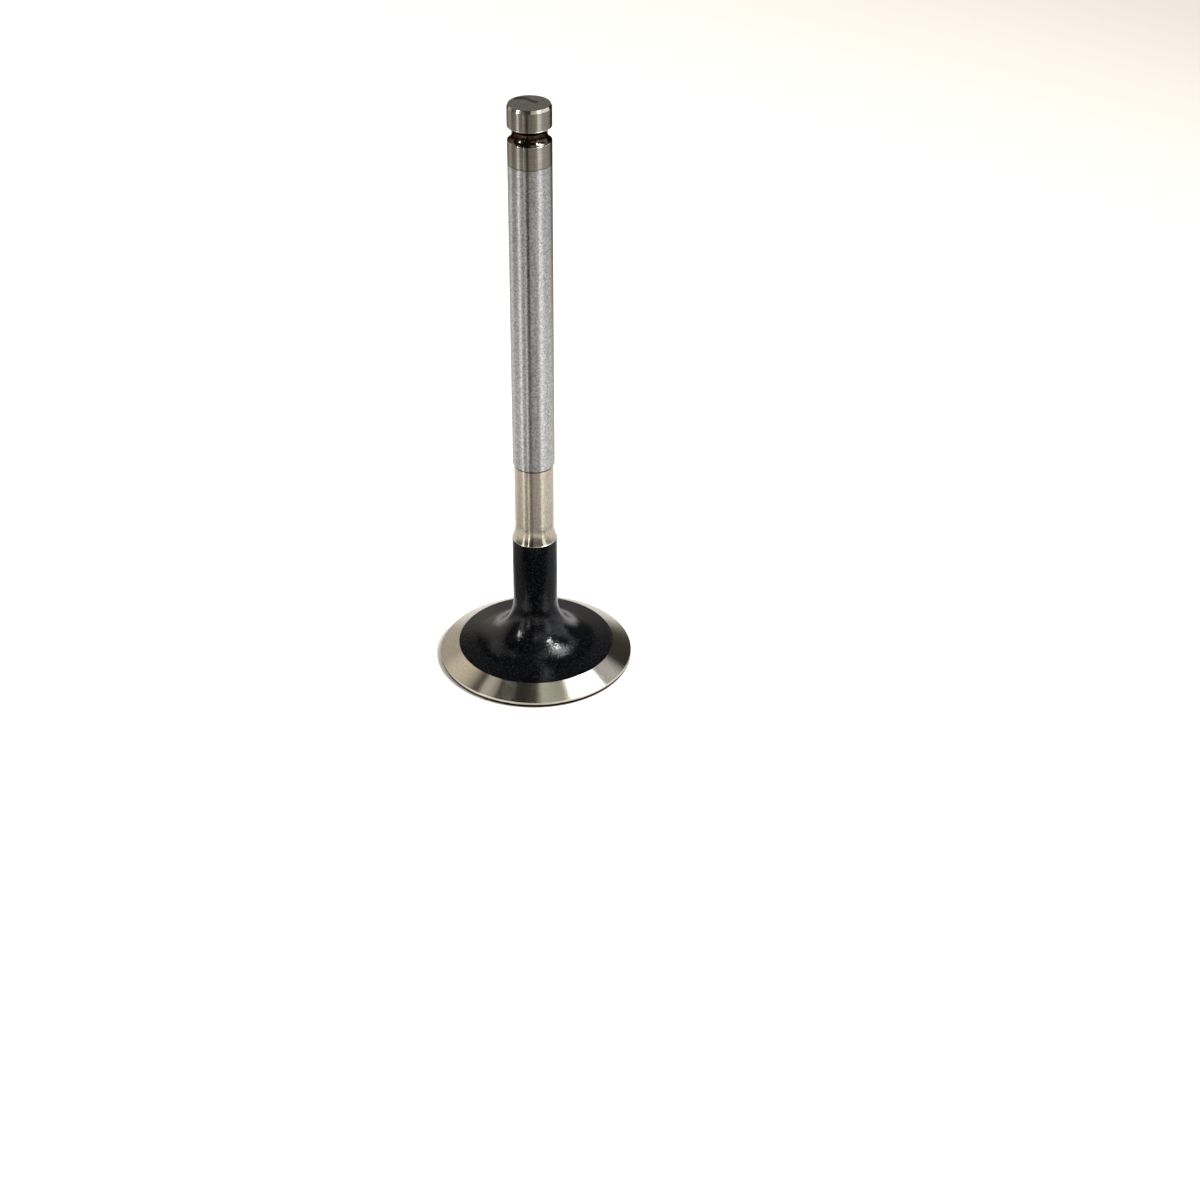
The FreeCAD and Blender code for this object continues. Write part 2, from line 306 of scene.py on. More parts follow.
class Nodes:
    """A node tree with short ways to add and join its nodes."""

    def __init__(self, tree):
        self.tree = tree

    def node(self, kind, inputs=None, **settings):
        """Adds a node, with its settings and with each input joined to a socket or set to a value."""
        made = self.tree.nodes.new(kind)
        for name, value in settings.items():
            setattr(made, name, value)
        for key, value in (inputs or {}).items():
            self.give(made, key, value)
        return made

    def give(self, made, key, value):
        """Joins a socket to an input, or sets the input's own value."""
        if isinstance(value, bpy.types.NodeSocket):
            self.tree.links.new(value, made.inputs[key])
        else:
            made.inputs[key].default_value = value

    def math(self, operation, first, second=0.0):
        """A number worked out from one or two."""
        return self.node("ShaderNodeMath", {0: first, 1: second}, operation=operation).outputs[0]

    def vector(self, operation, first, second=None, output=0):
        """A vector, or with output "Value" a number, worked out from one or two vectors."""
        inputs = {0: first} if second is None else {0: first, 1: second}
        return self.node("ShaderNodeVectorMath", inputs, operation=operation).outputs[output]

    def scaled(self, vector, factor):
        """A vector made longer or shorter."""
        inputs = {0: vector, "Scale": factor}
        return self.node("ShaderNodeVectorMath", inputs, operation="SCALE").outputs[0]

    def ramp(self, value, low, high):
        """A straight climb of value from low to high, given as a number from 0 to 1."""
        inputs = {"Value": value, "From Min": low, "From Max": high}
        return self.node("ShaderNodeMapRange", inputs).outputs[0]

    def blend(self, value, low, high, at_low=0.0, at_high=1.0):
        """A smooth step of value from low to high, given as a number between the last two."""
        inputs = {"Value": value, "From Min": low, "From Max": high, "To Min": at_low, "To Max": at_high}
        return self.node("ShaderNodeMapRange", inputs, interpolation_type="SMOOTHSTEP").outputs[0]

    def mix(self, share, first, second):
        """A colour between two. The mixing node's inputs 6 and 7 are its colours."""
        inputs = {0: share, 6: first, 7: second}
        return self.node("ShaderNodeMix", inputs, data_type="RGBA").outputs[2]


class Finish(Nodes):
    """A material with the few ways that the finishes share. Its places are in millimetres."""

    def __init__(self, name):
        self.material = bpy.data.materials.new(name)
        self.material.use_nodes = True
        super().__init__(self.material.node_tree)
        self.shader = self.tree.nodes["Principled BSDF"]
        self.place = self.scaled(self.node("ShaderNodeTexCoord").outputs["Object"], 1 / MM)
        self.x, self.y, self.z = self.node("ShaderNodeSeparateXYZ", {0: self.place}).outputs
        flat = self.node("ShaderNodeCombineXYZ", {0: self.x, 1: self.y}).outputs[0]
        self.radius = self.vector("LENGTH", flat, output="Value")
        self.outward = self.vector("NORMALIZE", flat)

    def set(self, **values):
        """Sets the shader's inputs, named with _ for a space."""
        for name, value in values.items():
            self.give(self.shader, name.replace("_", " "), value)

    def turned(self, along, around, across):
        """Places that run slowly around the axis and fast along a measure, so noise turns into rings."""
        run = self.node("ShaderNodeCombineXYZ", {2: self.math("MULTIPLY", along, across)}).outputs[0]
        return self.vector("ADD", self.scaled(self.outward, around), run)

    def noise(self, place, scale=1.0, detail=2.0, roughness=0.5):
        """Soft noise between 0 and 1, finer with a larger scale."""
        inputs = {"Vector": place, "Scale": scale, "Detail": detail, "Roughness": roughness}
        return self.node("ShaderNodeTexNoise", inputs).outputs[0]

    def ground_rings(self, along):
        """The fine rings that grinding leaves."""
        return self.noise(self.turned(along, 1.2, 16.0))

    def bump(self, height, depth, after=None):
        """Tilts the surface by a height between 0 and 1 whose full depth is in micrometres."""
        inputs = {"Height": height, "Distance": depth * MICROMETRE, "Strength": 1.0}
        if after:
            inputs["Normal"] = after
        return self.node("ShaderNodeBump", inputs).outputs[0]

    def stretch_gloss(self, amount):
        """Spreads highlights across the tool marks, which run around the axis."""
        tangent = self.node("ShaderNodeTangent", direction_type="RADIAL", axis="Z").outputs[0]
        self.set(Anisotropic=amount, Anisotropic_Rotation=QUARTER_TURN, Tangent=tangent)


def shade(colour, factor=1.0):
    """A colour with alpha, made lighter or darker."""
    return (*[channel * factor for channel in colour], 1.0)


# Finishes. Colours are linear, and heights and widths are in millimetres

# An anisotropic highlight is turned by a share of a full turn
QUARTER_TURN = 0.25
BLACK = (0.0, 0.0, 0.0)

# The painted contact shade on the broken edge and on the margin just above it
RIM_SHADE = (0.009, 0.008, 0.007)

# Where the neck's finish changes, each from one height to another: the bright band at its edge on the
# shank, the run-out's lower part with painted shade, its smoother part, and the relief with painted shade
NECK_BRIGHT_EDGE = (SHANK_TOP + 0.06, SHANK_TOP + 0.22)
NECK_RUNOUT_SHADE = (SHANK_TOP + 1.5, SHANK_TOP + 4.5)
NECK_SMOOTHER = (SHANK_TOP + 2.2, SHANK_TOP + 4.8)
NECK_RELIEF_SHADE = (NECK_TOP - RELIEF_HEIGHT, NECK_TOP - RELIEF_HEIGHT / 2)

# The button's lower edge, the groove's lip and its lower flank, each lighter as a painted highlight,
# likewise
BUTTON_STARTS = (BUTTON_BOTTOM - 0.2, BUTTON_BOTTOM - 0.1)
BUTTON_HIGHLIGHT = (BUTTON_BOTTOM + 0.08, BUTTON_BOTTOM + 0.24)
LIP_STARTS = (LIP_START - 0.03, LIP_START + 0.02)
LIP_STOPS = (LIP_START + 0.4, LIP_START + 1.4)
GLINT_FLANK = (LIP_START + 0.3, LIP_START + 1.1)


def combustion_face():
    """Faced in a lathe: fine rings, which fan the light out from the middle."""
    f = Finish("combustion_face")
    rings = f.noise(f.turned(f.radius, 0.6, 9.0), detail=3.0)
    bands = f.noise(f.turned(f.radius, 0.3, 0.9), detail=2.0)
    tint = f.mix(bands, shade((0.54, 0.50, 0.44)), shade((0.62, 0.57, 0.50)))
    f.set(Base_Color=tint, Metallic=1.0, Roughness=f.blend(rings, 0.3, 0.7, 0.30, 0.38))
    f.set(Normal=f.bump(rings, 2.5))
    f.stretch_gloss(0.96)
    return f.material


def margin():
    """The head's turned edge, with a band of painted contact shade just above the broken edge."""
    f = Finish("margin")
    rings = f.noise(f.turned(f.z, 1.0, 14.0), detail=2.0)
    turned = f.mix(rings, shade((0.55, 0.50, 0.42)), shade((0.64, 0.59, 0.50)))
    wander = f.blend(f.noise(f.turned(f.z, 4.0, 0.0), detail=2.0), 0.3, 0.7, -0.03, 0.03)
    height = f.math("ADD", f.z, wander)
    # Painted contact shade: a dark band up the margin from the broken edge
    contact_shaded = f.blend(height, RIM_BREAK + RIM_SHADE_HEIGHT - 0.06, RIM_BREAK + RIM_SHADE_HEIGHT + 0.03, 1.0, 0.0)
    tint = f.mix(contact_shaded, turned, shade(RIM_SHADE))
    f.set(Base_Color=tint, Metallic=1.0, Roughness=0.32, Normal=f.bump(rings, 1.5))
    f.stretch_gloss(0.8)
    return f.material


def seat():
    """The ground sealing cone, the brightest turned surface, with a slight mottle."""
    f = Finish("seat")
    rings = f.ground_rings(f.radius)
    mottle = f.noise(f.place, scale=2.0, detail=3.0, roughness=0.6)
    tint = f.mix(f.blend(mottle, 0.3, 0.7), shade((0.59, 0.55, 0.48)), shade((0.68, 0.64, 0.565)))
    f.set(Base_Color=tint, Metallic=1.0, Roughness=f.blend(mottle, 0.3, 0.7, 0.185, 0.205))
    f.set(Normal=f.bump(rings, 0.4))
    f.stretch_gloss(0.95)
    return f.material


def shaded_rim():
    """The face's broken edge, painted dark as contact shade where the valve stands on the floor."""
    f = Finish("shaded_rim")
    unevenness = f.noise(f.place, scale=2.0, detail=3.0)
    # Painted contact shade, a little uneven
    tint = f.mix(unevenness, shade(RIM_SHADE), shade(RIM_SHADE, 2.0))
    f.set(Base_Color=tint, Metallic=1.0, Roughness=0.45)
    return f.material


def oxide():
    """Dark oxide on the forged back and the shank: a fine sandy grain with lighter specks and scuffs."""
    f = Finish("oxide")
    pits = f.noise(f.place, scale=1.9, detail=2.0, roughness=0.55)
    grain = f.noise(f.place, scale=5.0, detail=2.0, roughness=0.6)
    specks = f.blend(f.noise(f.place, scale=2.9, detail=3.0, roughness=0.75), 0.54, 0.66)
    scuffs = f.blend(f.noise(f.place, scale=0.8, detail=5.0, roughness=0.75), 0.66, 0.76)
    marked = f.math("MAXIMUM", specks, scuffs)
    tint = f.mix(marked, shade((0.0011, 0.0015, 0.0024)), shade((0.019, 0.021, 0.026)))
    f.set(Base_Color=tint, Metallic=0.0, Roughness=f.blend(grain, 0.3, 0.7, 0.10, 0.17))
    f.set(Normal=f.bump(pits, 50.0, after=f.bump(grain, 5.0)), IOR=1.5, Specular_IOR_Level=0.30)
    return f.material


def neck():
    """Turned and left bare: a warm satin, smooth at its run-out, which ends in a bright band at its edge
    and is darker lower down as painted shade, with painted shade in the relief under the shoulder."""
    f = Finish("neck")
    rings = f.noise(f.turned(f.z, 1.5, 9.0), detail=3.0)
    drawn_out = f.vector("MULTIPLY", f.place, (1.0, 1.0, 0.6))
    mottle = f.noise(drawn_out, scale=3.2, detail=3.0, roughness=0.65)
    patina = f.blend(f.noise(drawn_out, scale=0.9, detail=2.0), 0.42, 0.58)
    pale = f.mix(patina, shade((0.72, 0.63, 0.545)), shade((0.69, 0.65, 0.53)))
    satin = f.mix(f.blend(mottle, 0.32, 0.68), f.mix(0.30, pale, shade(BLACK)), pale)
    # Painted shade: the run-out is darker towards the shank
    satin = f.mix(f.blend(f.z, *NECK_RUNOUT_SHADE, 0.22, 0.0), satin, shade(BLACK))
    # A lighter, rougher band at the run-out's edge on the shank
    bright_edge = f.blend(f.z, *NECK_BRIGHT_EDGE, 1.0, 0.0)
    satin = f.mix(bright_edge, satin, shade((0.92, 0.87, 0.78)))
    # Painted shade in the relief under the shoulder
    tint = f.mix(f.blend(f.z, *NECK_RELIEF_SHADE), satin, shade((0.10, 0.085, 0.075)))
    smoother = f.blend(f.z, *NECK_SMOOTHER, 0.14, 0.30)
    f.set(Base_Color=tint, Metallic=1.0, Normal=f.bump(rings, 1.2))
    f.set(Roughness=f.math("ADD", smoother, f.math("MULTIPLY", bright_edge, 0.35)))
    f.stretch_gloss(0.97)
    return f.material


def plating_edge(f):
    """How far a place lies above the plating's slightly uneven top edge."""
    spread = PLATING_WANDER - PLATING_EDGE
    wander = f.blend(f.noise(f.turned(f.z, 3.0, 0.0), detail=2.0), 0.2, 0.8, -spread, spread)
    return f.math("SUBTRACT", f.z, f.math("ADD", wander, PLATING_TOP))


def steel_tint(f):
    """The bare ground steel of the stem, ringed by the grinding and finely speckled."""
    rings = f.ground_rings(f.z)
    specks = f.noise(f.place, scale=3.2, detail=3.0, roughness=0.7)
    share = f.math("MULTIPLY", f.math("ADD", rings, specks), 0.5)
    return f.mix(f.blend(share, 0.35, 0.65), shade((0.29, 0.27, 0.24)), shade((0.43, 0.40, 0.36)))


def plating():
    """Satin plating with a fine grain, up to a slightly uneven dark edge with bare steel above it."""
    f = Finish("plating")
    height = plating_edge(f)
    bare = f.blend(height, -PLATING_EDGE, PLATING_EDGE)
    edge = f.blend(f.math("ABSOLUTE", height), PLATING_EDGE, 4 * PLATING_EDGE, 1.0, 0.0)
    grain = f.noise(f.place, scale=2.4, detail=3.0, roughness=0.7)
    rings = f.ground_rings(f.z)
    satin = f.mix(f.blend(grain, 0.36, 0.64), shade((0.37, 0.38, 0.405)), shade((0.67, 0.68, 0.705)))
    whole = f.mix(bare, satin, steel_tint(f))
    f.set(Base_Color=f.mix(edge, whole, shade((0.16, 0.148, 0.132))), Metallic=1.0, Roughness=0.32)
    f.set(Normal=f.bump(grain, 4.0, after=f.bump(rings, 0.4)), Specular_Tint=(0.88, 0.88, 0.88, 1.0))
    f.stretch_gloss(0.95)
    return f.material


def ground_steel():
    """Bare steel, ground bright around the axis, above the plating and around the button. The button's
    lower edge is lighter and rougher as a painted highlight, and the groove's lip is polished and lighter
    as a painted highlight."""
    f = Finish("ground_steel")
    rings = f.ground_rings(f.z)
    # Painted highlight along the button's lower edge: lighter and rougher
    bright_edge = f.math("MULTIPLY", f.blend(f.z, *BUTTON_STARTS), f.blend(f.z, *BUTTON_HIGHLIGHT, 1.0, 0.0))
    tint = f.mix(bright_edge, steel_tint(f), shade((0.80, 0.76, 0.70)))
    # Painted highlight on the polished lip: lighter
    lip = f.math("MULTIPLY", f.blend(f.z, *LIP_STARTS), f.blend(f.z, *LIP_STOPS, 1.0, 0.0))
    tint = f.mix(lip, tint, shade((0.70, 0.66, 0.61)))
    gloss = f.math("ADD", 0.30, f.math("MULTIPLY", bright_edge, 0.25))
    gloss = f.math("SUBTRACT", gloss, f.math("MULTIPLY", lip, 0.14))
    f.set(Base_Color=tint, Metallic=1.0, Roughness=gloss, Normal=f.bump(rings, 0.4))
    f.set(Specular_Tint=(0.60, 0.56, 0.52, 1.0))
    f.stretch_gloss(1.0)
    return f.material


def groove():
    """The keeper groove, stained dark brown by heat and oil, with a wet gloss. Its lower flank is paler as
    a painted highlight where its glints fall.
    """
    f = Finish("groove")
    unevenness = f.noise(f.place, scale=1.4, detail=4.0, roughness=0.6)
    tint = f.mix(f.blend(unevenness, 0.35, 0.65), shade((0.030, 0.021, 0.016)), shade((0.070, 0.048, 0.035)))
    # Painted highlight: the lower flank is paler, so that its glints show white
    tint = f.mix(f.blend(f.z, *GLINT_FLANK, 1.0, 0.0), tint, shade((0.125, 0.108, 0.090)))
    f.set(Base_Color=tint, Metallic=1.0, Roughness=f.blend(unevenness, 0.3, 0.7, 0.09, 0.15))
    f.set(Specular_Tint=(0.35, 0.33, 0.30, 1.0), Normal=f.bump(unevenness, 7.0))
    return f.material


def chamfer():
    """The tip's turned chamfer, polished bright."""
    f = Finish("chamfer")
    rings = f.noise(f.turned(f.z, 1.5, 14.0), detail=2.0)
    tint = f.mix(rings, shade((0.55, 0.52, 0.47)), shade((0.66, 0.62, 0.57)))
    f.set(Base_Color=tint, Metallic=1.0, Roughness=0.18, Normal=f.bump(rings, 0.6))
    f.stretch_gloss(0.7)
    return f.material


def tip():
    """The ground end face, a flat grey with a thin dark wavy mark, and a ring of painted shade at its edge.
    """
    f = Finish("tip")
    grain = f.noise(f.place, scale=2.4, detail=3.0, roughness=0.7)
    steel = f.mix(f.blend(grain, 0.36, 0.64), shade((0.150, 0.143, 0.126)), shade((0.285, 0.273, 0.250)))
    level = f.blend(f.x, *TIP_MARK_TURN, TIP_MARK_FAR, TIP_MARK_NEAR)
    aside = f.math("ABSOLUTE", f.math("SUBTRACT", f.y, level))
    across = f.blend(aside, TIP_MARK_WIDTH / 3, TIP_MARK_WIDTH, 1.0, 0.0)
    first, last = TIP_MARK_ENDS
    starts = f.blend(f.x, first, first + 0.8)
    stops = f.blend(f.x, last - 0.5, last, 1.0, 0.0)
    mark = f.math("MULTIPLY", across, f.math("MULTIPLY", starts, stops))
    # Painted shade: a dark ring just inside the edge
    edge = f.blend(f.radius, TIP_RADIUS - 0.22, TIP_RADIUS - 0.05, 0.0, 0.8)
    tint = f.mix(f.math("MAXIMUM", mark, edge), steel, shade((0.010, 0.008, 0.006)))
    f.set(Base_Color=tint, Metallic=1.0, Roughness=0.30, Normal=f.bump(grain, 2.0))
    return f.material


# Studio. Places and sizes are in metres, directions in degrees

WHITE = (1.0, 1.0, 1.0)
WORLD_COLOUR = (1.0, 0.97, 0.93)
WORLD_LIGHT = 0.30

# The floor lies a hair under the valve. Its light on the valve comes from the bounce colour
FLOOR_SIZE = 60.0
FLOOR_GAP = 0.00002
FLOOR_BOUNCE = (0.80, 0.80, 0.80)

# The eye sees it warmer and darker along one way, and plain white far from the valve
FLOOR_SEEN = (1.30, 1.23, 1.15)
FLOOR_FAR = (0.714, 0.655, 0.600)
FLOOR_FAR_WAY = Vector((0.82, 0.57, 0.0))
FLOOR_FAR_SPAN = (0.013, 0.43)
FLOOR_WHITE_SPAN = (0.55, 0.95)

# The metal sees it dimmer past the head
FLOOR_MIRRORED = WHITE
FLOOR_MIRRORED_FAR = (0.78, 0.78, 0.78)
FLOOR_MIRRORED_SPAN = (0.025, 0.033)

# The lamps stand around a point of the stem, and take so many watts per square metre for a radiance of 1
AIM = Vector((0.0, 0.0, 0.06))
LIGHT_DISTANCE = 2.5
LAMP_WATTS = 4.0
WARM = (1.0, 0.98, 0.95)
PALE = (1.0, 0.99, 0.97)
SKY = (0.98, 0.99, 1.0)

# Azimuth and elevation of each lamp, its width and height as the valve sees it, its radiance and colour
LAMPS = {
    "right lamp": (51, 43, 3.5, 9, 104.0, WARM),
    "window": (86, 57, 32, 18, 7.0, SKY),
    "bright pane": (77, 51, 4.5, 5.5, 92.0, SKY),
    "left lamp": (-63, 25, 6, 11, 27.0, WARM),
    "thin lamp": (-31, 8, 1.5, 12, 8.0, WARM),
    "high lamp": (-102, 61, 2.5, 12, 1.2, PALE),
    "high slit": (-82, 72, 0.6, 10, 2.2, PALE),
}


def direction(azimuth, elevation):
    """A direction. Azimuth 0 is towards the camera, and it grows to the photograph's right."""
    a, e = math.radians(azimuth), math.radians(elevation)
    return Vector((math.sin(a) * math.cos(e), -math.cos(a) * math.cos(e), math.sin(e)))


def add_lamp(name, azimuth, elevation, wide, tall, radiance, colour):
    """A soft rectangular lamp."""
    light = bpy.data.lights.new(name, "AREA")
    light.shape = "RECTANGLE"
    light.size = 2 * LIGHT_DISTANCE * math.tan(math.radians(wide / 2))
    light.size_y = 2 * LIGHT_DISTANCE * math.tan(math.radians(tall / 2))
    light.energy = LAMP_WATTS * radiance * light.size * light.size_y
    light.color = colour
    lamp = bpy.data.objects.new(name, light)
    away = direction(azimuth, elevation)
    lamp.location = AIM + away * LIGHT_DISTANCE
    lamp.rotation_euler = (-away).to_track_quat("-Z", "Y").to_euler()
    lamp.visible_camera = False
    bpy.context.scene.collection.objects.link(lamp)


def soft_step(value, low, high):
    """A smooth step from 0 at low to 1 at high."""
    t = min(max((value - low) / (high - low), 0.0), 1.0)
    return t * t * (3 - 2 * t)


# The room that the metal mirrors behind the lamps, as a dome of so many columns and rows. Each patch
# has its azimuths, its elevations, its soft edge and its light
ROOM_RADIUS = 4.0
ROOM_COLUMNS = 180
ROOM_ROWS = 45
ROOM_SHADE = np.array((0.036, 0.035, 0.031))
ROOM_PATCHES = {
    "left wall": ((-172, -142), (-10, 26), 5, (0.50, 0.455, 0.385)),
    "left wall's near end": ((-142, -110), (-10, 54), 5, (0.62, 0.56, 0.47)),
    "left wall's lit top": ((-141, -116), (28, 50), 7, (0.18, 0.155, 0.12)),
    "left shelf": ((-110, -97), (-10, 12), 4, (0.40, 0.37, 0.32)),
    "left skylight": ((-113, -93), (56, 68), 3, (0.40, 0.37, 0.32)),
    "left shade": ((-92, -36), (-10, 34), 5, (0.10, 0.095, 0.08)),
    "left lamp's lower edge": ((-66, -44), (8, 21), 3, (0.95, 0.92, 0.85)),
    "left strip": ((-65, -53), (-10, 10), 3, (2.0, 1.94, 1.82)),
    "thin strip": ((-33, -27), (-5, 14), 2, (0.80, 0.77, 0.70)),
    "right strip": ((42, 58), (-10, 26), 3, (1.5, 1.46, 1.38)),
    "right wall": ((50, 118), (-10, 28), 6, (1.08, 1.10, 1.13)),
    "right wall's top": ((8, 44), (14, 28), 3, (0.85, 0.80, 0.68)),
    "beside the window": ((112, 128), (28, 52), 2, (0.80, 0.80, 0.82)),
    "ceiling": ((12, 82), (66, 90), 6, (0.72, 0.76, 0.66)),
    "back wall": ((165, 195), (5, 45), 6, (0.38, 0.36, 0.33)),
}

# Things near the valve that only the metal sees: bright strips low on both sides, dark and grey cards
# in front, and mats on the sheet. Each has two opposite corners and its light
MAT_HEIGHT = 0.0003
CARDS = {
    "left_strip": ((-0.090, -0.048, 0.0), (-0.064, -0.048, 0.030), (1.9, 1.84, 1.72)),
    "right_strip": ((0.046, -0.058, 0.0), (0.078, -0.058, 0.030), (1.7, 1.65, 1.57)),
    "thin_card": ((-0.052, -0.080, 0.0), (-0.042, -0.080, 0.026), (3.2, 3.1, 2.9)),
    "dark_card_foot": ((-0.033, -0.080, 0.0), (-0.010, -0.080, 0.016), (0.30, 0.285, 0.25)),
    "dark_card": ((-0.033, -0.080, 0.016), (-0.010, -0.080, 0.30), (0.055, 0.052, 0.047)),
    "grey_card_foot": ((-0.010, -0.080, 0.0), (0.052, -0.080, 0.011), (1.20, 1.15, 1.04)),
    "grey_card": ((-0.010, -0.080, 0.011), (0.052, -0.080, 0.050), (0.19, 0.18, 0.155)),
    "grey_card_high": ((-0.010, -0.080, 0.050), (0.052, -0.080, 0.072), (1.25, 1.19, 1.09)),
    "grey_card_top": ((-0.010, -0.080, 0.072), (0.052, -0.080, 0.13), (0.23, 0.215, 0.19)),
    "front_mat": ((-0.060, -0.060, MAT_HEIGHT), (0.060, -0.022, MAT_HEIGHT), (0.03, 0.03, 0.03)),
    "left_mat": ((-0.055, -0.022, MAT_HEIGHT), (-0.0225, 0.034, MAT_HEIGHT), (0.24, 0.24, 0.24)),
    "right_mat": ((0.0225, -0.022, MAT_HEIGHT), (0.055, 0.034, MAT_HEIGHT), (0.40, 0.40, 0.40)),
}

# The table past the sheet: plain white at first, then lit by azimuth, and darker far away. Each sector
# has its azimuths and its light
SHEET_RADIUS = 0.07
TABLE_HEIGHT = 0.0005
TABLE_SHADE = np.array((0.030, 0.029, 0.026))
TABLE_COLOUR = np.array((1.0, 0.96, 0.89))
TABLE_PLAIN = 1.05
TABLE_SECTORS = {
    "back left": (-180, -130, 0.72),
    "left corner": (-130, -107, 1.25),
    "left": (-107, -76, 0.32),
    "under the left lamp": (-76, -56, 0.60),
    "front left": (-54, -34, 0.10),
    "front": (-34, 32, 0.35),
    "front right": (32, 41, 0.15),
    "under the right lamp": (41, 60, 0.50),
    "past the right lamp": (60, 84, 0.25),
    "right": (84, 108, 0.65),
    "right corner": (108, 128, 0.50),
    "back right": (128, 168, 0.14),
    "back": (168, 180, 0.50),
}

# The sectors' soft edge, the distances between which they take over, the fade, and the mesh's rings
TABLE_SOFT = 5
TABLE_UNEVEN = (0.10, 0.28)
TABLE_FADE_FROM = 0.28
TABLE_FADE = 0.20
TABLE_RINGS = (0.09, 0.12, 0.16, 0.20, 0.26, 0.34, 0.45, 0.65, 1.0, 1.8)


def outside(azimuth, left, right):
    """How far an azimuth lies outside a stretch of azimuths. It is below 0 inside."""
    return abs((azimuth - (left + right) / 2 + 180) % 360 - 180) - (right - left) / 2


def room_light(azimuth, elevation):
    """The light that the room sends from one direction."""
    total = ROOM_SHADE.copy()
    for (left, right), (low, high), soft, colour in ROOM_PATCHES.values():
        aside = outside(azimuth, left, right)
        above = abs(elevation - (low + high) / 2) - (high - low) / 2
        inside = soft_step(-aside, -soft / 2, soft / 2) * soft_step(-above, -soft / 2, soft / 2)
        total = total + inside * np.array(colour)
    return total


def table_light(azimuth, distance):
    """The light that the table past the white sheet sends from one place."""
    lit = 0.0
    for left, right, amount in TABLE_SECTORS.values():
        lit += amount * soft_step(-outside(azimuth, left, right), -TABLE_SOFT / 2, TABLE_SOFT / 2)
    uneven = soft_step(distance, *TABLE_UNEVEN)
    near = math.exp(min(TABLE_FADE_FROM - distance, 0.0) / TABLE_FADE)
    return TABLE_SHADE + near * (TABLE_PLAIN * (1 - uneven) + lit * uneven) * TABLE_COLOUR


def bare_material(name):
    """A material with no nodes yet, and its tree."""
    material = bpy.data.materials.new(name)
    material.use_nodes = True
    material.node_tree.nodes.clear()
    return material, Nodes(material.node_tree)


def glowing(name, colour=None, layer=None):
    """A material that sends out one colour, or the colours of a named layer of its mesh."""
    material, n = bare_material(name)
    if layer:
        sent = n.node("ShaderNodeAttribute", attribute_name=layer).outputs["Color"]
    else:
        sent = shade(colour)
    glow = n.node("ShaderNodeEmission", {"Color": sent})
    n.node("ShaderNodeOutputMaterial", {"Surface": glow.outputs[0]})
    return material


def stage_for_mirrors(name, mesh, material):
    """Adds a stage object that shows only in reflections and throws no shadow."""
    mesh.materials.append(material)
    made = bpy.data.objects.new(name, mesh)
    made.visible_camera = False
    made.visible_diffuse = False
    made.visible_shadow = False
    bpy.context.scene.collection.objects.link(made)


def add_room():
    """A dark room that only reflections see: a table past the white sheet, and a dome over it."""
    points, colours, faces = [], [], []
    azimuths = [360 * column / ROOM_COLUMNS for column in range(ROOM_COLUMNS)]
    table = (SHEET_RADIUS, *TABLE_RINGS, ROOM_RADIUS)
    for distance in table:
        for azimuth in azimuths:
            points.append(direction(azimuth, 0) * distance + Vector((0, 0, TABLE_HEIGHT)))
            colours.append(table_light(azimuth, distance))
    for row in range(1, ROOM_ROWS + 1):
        for azimuth in azimuths:
            elevation = 90 * row / ROOM_ROWS
            points.append(direction(azimuth, elevation) * ROOM_RADIUS)
            colours.append(room_light(azimuth, elevation))
    for ring in range(len(table) + ROOM_ROWS - 1):
        here = ring * ROOM_COLUMNS
        above = here + ROOM_COLUMNS
        for column in range(ROOM_COLUMNS):
            beside = (column + 1) % ROOM_COLUMNS
            faces.append((here + column, here + beside, above + beside, above + column))
    mesh = bpy.data.meshes.new("room")
    mesh.from_pydata(points, [], faces)
    layer = mesh.color_attributes.new("light", "FLOAT_COLOR", "POINT")
    layer.data.foreach_set("color", [value for colour in colours for value in shade(colour)])
    stage_for_mirrors("room", mesh, glowing("room", layer="light"))


def add_cards():
    """The cards, which give the metal its dark core and the bright streaks beside it."""
    for name, ((x0, y0, z0), (x1, y1, z1), colour) in CARDS.items():
        corners = [(x0, y0, z0), (x1, y0, z0), (x1, y1, z1), (x0, y1, z1)]
        mesh = bpy.data.meshes.new(name)
        mesh.from_pydata(corners, [], [(0, 1, 2, 3)])
        stage_for_mirrors(name, mesh, glowing(name, colour))


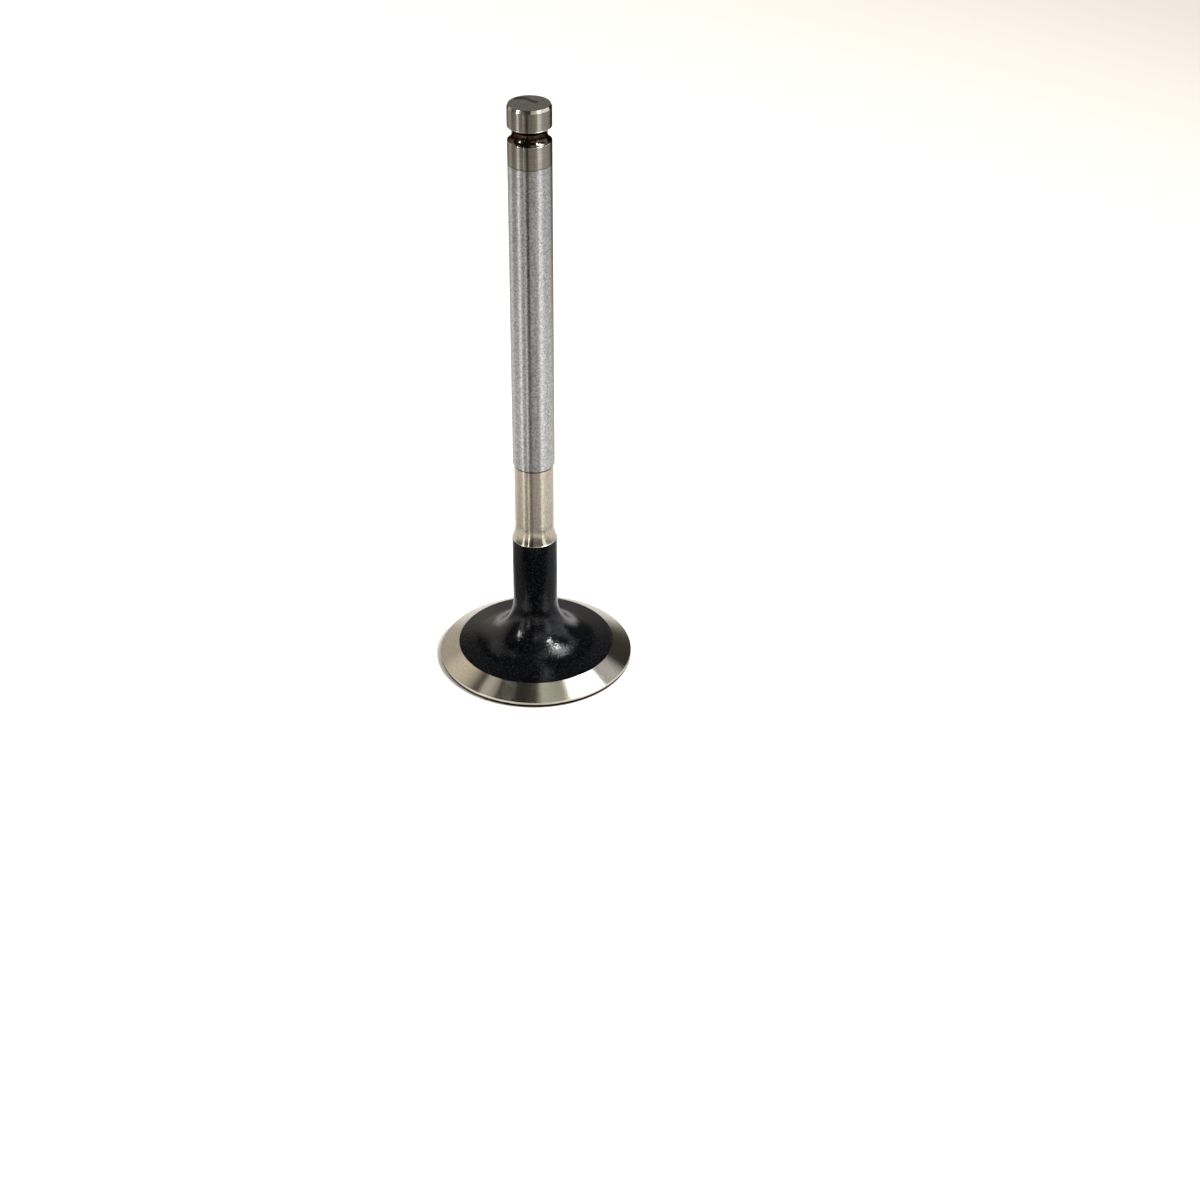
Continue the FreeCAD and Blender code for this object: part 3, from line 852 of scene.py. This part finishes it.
def sheet_material():
    """A white sheet that has one colour to the eye, one in the metal and one for its light on the valve."""
    material, n = bare_material("floor")
    place = n.node("ShaderNodeTexCoord").outputs["Object"]
    distance = n.vector("LENGTH", place, output="Value")
    path = n.node("ShaderNodeLightPath").outputs
    to_eye = path["Is Camera Ray"]
    in_metal = n.math("MAXIMUM", path["Is Glossy Ray"], path["Is Transmission Ray"])
    far = n.ramp(n.vector("DOT_PRODUCT", place, FLOOR_FAR_WAY, output="Value"), *FLOOR_FAR_SPAN)
    seen = n.mix(far, shade(FLOOR_SEEN), shade(FLOOR_FAR))
    away = n.ramp(distance, *FLOOR_MIRRORED_SPAN)
    mirrored = n.mix(away, shade(FLOOR_MIRRORED), shade(FLOOR_MIRRORED_FAR))
    colour = n.mix(to_eye, n.mix(in_metal, shade(FLOOR_BOUNCE), mirrored), seen)
    paper = n.node("ShaderNodeBsdfDiffuse", {"Color": colour})
    # Far beyond the valve the eye sees plain white, which runs on into the world's white
    white = n.node("ShaderNodeEmission", {"Color": shade(WHITE)})
    beyond = n.math("MULTIPLY", n.blend(distance, *FLOOR_WHITE_SPAN), to_eye)
    sheet = n.node("ShaderNodeMixShader", {0: beyond, 1: paper.outputs[0], 2: white.outputs[0]})
    n.node("ShaderNodeOutputMaterial", {"Surface": sheet.outputs[0]})
    return material


def add_floor():
    """The floor, a white sheet that keeps the valve's shadow."""
    half = FLOOR_SIZE / 2
    corners = [(-half, -half), (half, -half), (half, half), (-half, half)]
    mesh = bpy.data.meshes.new("floor")
    mesh.from_pydata([(x, y, -FLOOR_GAP) for x, y in corners], [], [(0, 1, 2, 3)])
    mesh.materials.append(sheet_material())
    floor = bpy.data.objects.new("floor", mesh)
    bpy.context.scene.collection.objects.link(floor)


def add_world():
    """Plain soft light from all around, and white to the eye. The metal sees the room instead."""
    world = bpy.data.worlds.new("world")
    world.use_nodes = True
    world.node_tree.nodes.clear()
    n = Nodes(world.node_tree)
    light = n.node("ShaderNodeBackground", {"Color": shade(WORLD_COLOUR), "Strength": WORLD_LIGHT})
    seen = n.node("ShaderNodeBackground", {"Color": shade(WHITE), "Strength": 1.0})
    to_eye = n.node("ShaderNodeLightPath").outputs["Is Camera Ray"]
    both = n.node("ShaderNodeMixShader", {0: to_eye, 1: light.outputs[0], 2: seen.outputs[0]})
    n.node("ShaderNodeOutputWorld", {"Surface": both.outputs[0]})
    bpy.context.scene.world = world
    world.cycles_visibility.glossy = False


def add_studio():
    """The floor, the lights and all that the metal mirrors."""
    add_floor()
    add_room()
    add_cards()
    add_world()
    for name, settings in LAMPS.items():
        add_lamp(name, *settings)


# Scene

FINISHES = {
    "face": combustion_face(),
    "margin": margin(),
    "shaded_rim": shaded_rim(),
    "seat": seat(),
    "oxide": oxide(),
    "neck": neck(),
    "plating": plating(),
    "ground": ground_steel(),
    "groove": groove(),
    "chamfer": chamfer(),
    "tip": tip(),
}
add_camera()
add_valve(FINISHES)
add_studio()
bpy.context.scene.view_settings.view_transform = "Standard"
